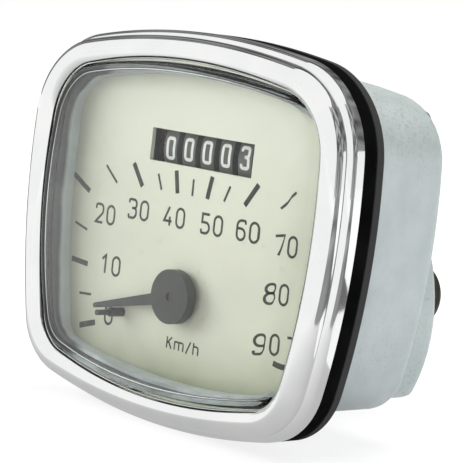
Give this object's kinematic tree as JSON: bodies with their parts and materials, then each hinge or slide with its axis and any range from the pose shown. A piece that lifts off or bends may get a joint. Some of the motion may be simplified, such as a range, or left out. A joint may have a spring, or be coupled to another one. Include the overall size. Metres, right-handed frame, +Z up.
{
  "type": "scooter speedometer",
  "caption": "Panel speedometer with a rounded four-sided chrome bezel, ivory dial, needle, odometer drums and a zinc case with a threaded cable drive neck.",
  "frame": {"origin": "on the needle's axis, at the middle of the drive neck's threaded length", "axes": "+Y runs from the face to the rear along the drive neck, +X to the right as the face is read, +Z up"},
  "size_m": [0.0798, 0.0717, 0.0679],
  "materials": {
    "case_zinc": "satin bare zinc casting",
    "chrome": "bright plated",
    "gasket_rubber": "matte",
    "glass": "clear",
    "ring_paint": "satin",
    "dial_paint": "satin ivory",
    "needle_paint": "satin dark grey",
    "hub_plastic": "satin",
    "neck_bronze": "dark burnished",
    "brass": "bright",
    "steel": "satin",
    "drum_plastic": "satin black",
    "cup_aluminium": "satin",
    "magnet_iron": "ground",
    "lamp_plastic": "matte"
  },
  "bodies": {
    "case": {"housing": "case_zinc", "bezel": "chrome", "panel_gasket": "gasket_rubber", "glass": "glass", "glass_seal": "gasket_rubber", "spacer_ring": "ring_paint", "dial_plate": "dial_paint", "needle_stop": "needle_paint", "drive_neck": "neck_bronze", "neck_nut": "neck_bronze", "neck_bush": "brass", "stud_left": "steel", "stud_right": "steel", "lamp_holder": "lamp_plastic", "lamp_bulb": "glass", "lamp_contact": "brass", "movement_frame": "case_zinc", "front_bridge": "steel", "bridge_screw_left": "brass", "bridge_screw_right": "brass", "frame_screw_upper": "brass", "frame_screw_lower": "brass", "frame_screw_right": "brass", "odometer_frame": "steel", "odometer_screw_left": "brass", "odometer_screw_right": "brass", "odometer_axle": "steel", "pinion_axle": "steel", "axle_spacer": "brass", "hairspring_stud": "steel", "hairspring": "brass"},
    "needle_unit": {"needle": "needle_paint", "hub_cap": "hub_plastic", "needle_staff": "steel", "drag_cup": "cup_aluminium", "hairspring_collet": "brass"},
    "drive": {"drive_spindle": "steel", "magnet": "magnet_iron", "field_cup": "steel", "drive_worm": "steel"},
    "cross": {"cross_shaft": "steel", "cross_wheel": "brass", "cross_worm": "steel"},
    "upright": {"upright_shaft": "steel", "upright_wheel": "brass", "upright_worm": "steel"},
    "drum_unit_1": {"drum_1": "drum_plastic", "drum_wheel": "brass"},
    "drum_unit_2": {"drum_2": "drum_plastic"},
    "drum_unit_3": {"drum_3": "drum_plastic"},
    "drum_unit_4": {"drum_4": "drum_plastic"},
    "drum_unit_5": {"drum_5": "drum_plastic"},
    "pinion_unit_1": {"pinion_1": "brass"},
    "pinion_unit_2": {"pinion_2": "brass"},
    "pinion_unit_3": {"pinion_3": "brass"},
    "pinion_unit_4": {"pinion_4": "brass"}
  },
  "joints": [
    {"name": "needle_swing", "type": "hinge", "parent": "case", "child": "needle_unit", "pos_m": [0, -0.0494, 0], "axis": [0, 1, 0], "range_deg": [0, 225], "stiffness_Nm_per_rad": 0.00004, "springref_deg": -8.59, "deforming": ["hairspring"]},
    {"name": "drive_spin", "type": "hinge", "parent": "case", "child": "drive", "pos_m": [0, -0.0494, 0], "axis": [0, 1, 0], "continuous": true},
    {"name": "cross_spin", "type": "hinge", "parent": "case", "child": "cross", "pos_m": [0, -0.02615, 0.008], "axis": [1, 0, 0], "continuous": true},
    {"name": "upright_spin", "type": "hinge", "parent": "case", "child": "upright", "pos_m": [0.0175, -0.03325, 0.01], "axis": [0, 0, 1], "continuous": true},
    {"name": "drum_1_spin", "type": "hinge", "parent": "case", "child": "drum_unit_1", "pos_m": [0, -0.0394, 0.0251], "axis": [1, 0, 0], "continuous": true},
    {"name": "drum_2_spin", "type": "hinge", "parent": "case", "child": "drum_unit_2", "pos_m": [0, -0.0394, 0.0251], "axis": [1, 0, 0], "continuous": true},
    {"name": "drum_3_spin", "type": "hinge", "parent": "case", "child": "drum_unit_3", "pos_m": [0, -0.0394, 0.0251], "axis": [1, 0, 0], "continuous": true},
    {"name": "drum_4_spin", "type": "hinge", "parent": "case", "child": "drum_unit_4", "pos_m": [0, -0.0394, 0.0251], "axis": [1, 0, 0], "continuous": true},
    {"name": "drum_5_spin", "type": "hinge", "parent": "case", "child": "drum_unit_5", "pos_m": [0, -0.0394, 0.0251], "axis": [1, 0, 0], "continuous": true},
    {"name": "pinion_1_spin", "type": "hinge", "parent": "case", "child": "pinion_unit_1", "pos_m": [0, -0.03519, 0.03412], "axis": [1, 0, 0], "continuous": true},
    {"name": "pinion_2_spin", "type": "hinge", "parent": "case", "child": "pinion_unit_2", "pos_m": [0, -0.03519, 0.03412], "axis": [1, 0, 0], "continuous": true},
    {"name": "pinion_3_spin", "type": "hinge", "parent": "case", "child": "pinion_unit_3", "pos_m": [0, -0.03519, 0.03412], "axis": [1, 0, 0], "continuous": true},
    {"name": "pinion_4_spin", "type": "hinge", "parent": "case", "child": "pinion_unit_4", "pos_m": [0, -0.03519, 0.03412], "axis": [1, 0, 0], "continuous": true}
  ],
  "couplings": [
    {"joint": "cross_spin", "follows": "drive_spin", "ratio": -0.05},
    {"joint": "upright_spin", "follows": "drive_spin", "ratio": -0.0025},
    {"joint": "drum_1_spin", "follows": "drive_spin", "ratio": 0.0001},
    {"joint": "drum_2_spin", "follows": "drive_spin", "ratio": 0.00001},
    {"joint": "drum_3_spin", "follows": "drive_spin", "ratio": 0.000001},
    {"joint": "drum_4_spin", "follows": "drive_spin", "ratio": 0.0000001},
    {"joint": "drum_5_spin", "follows": "drive_spin", "ratio": 0.00000001},
    {"joint": "pinion_1_spin", "follows": "drive_spin", "ratio": -0.000025},
    {"joint": "pinion_2_spin", "follows": "drive_spin", "ratio": -0.0000025},
    {"joint": "pinion_3_spin", "follows": "drive_spin", "ratio": -0.00000025},
    {"joint": "pinion_4_spin", "follows": "drive_spin", "ratio": -0.000000025}
  ]
}
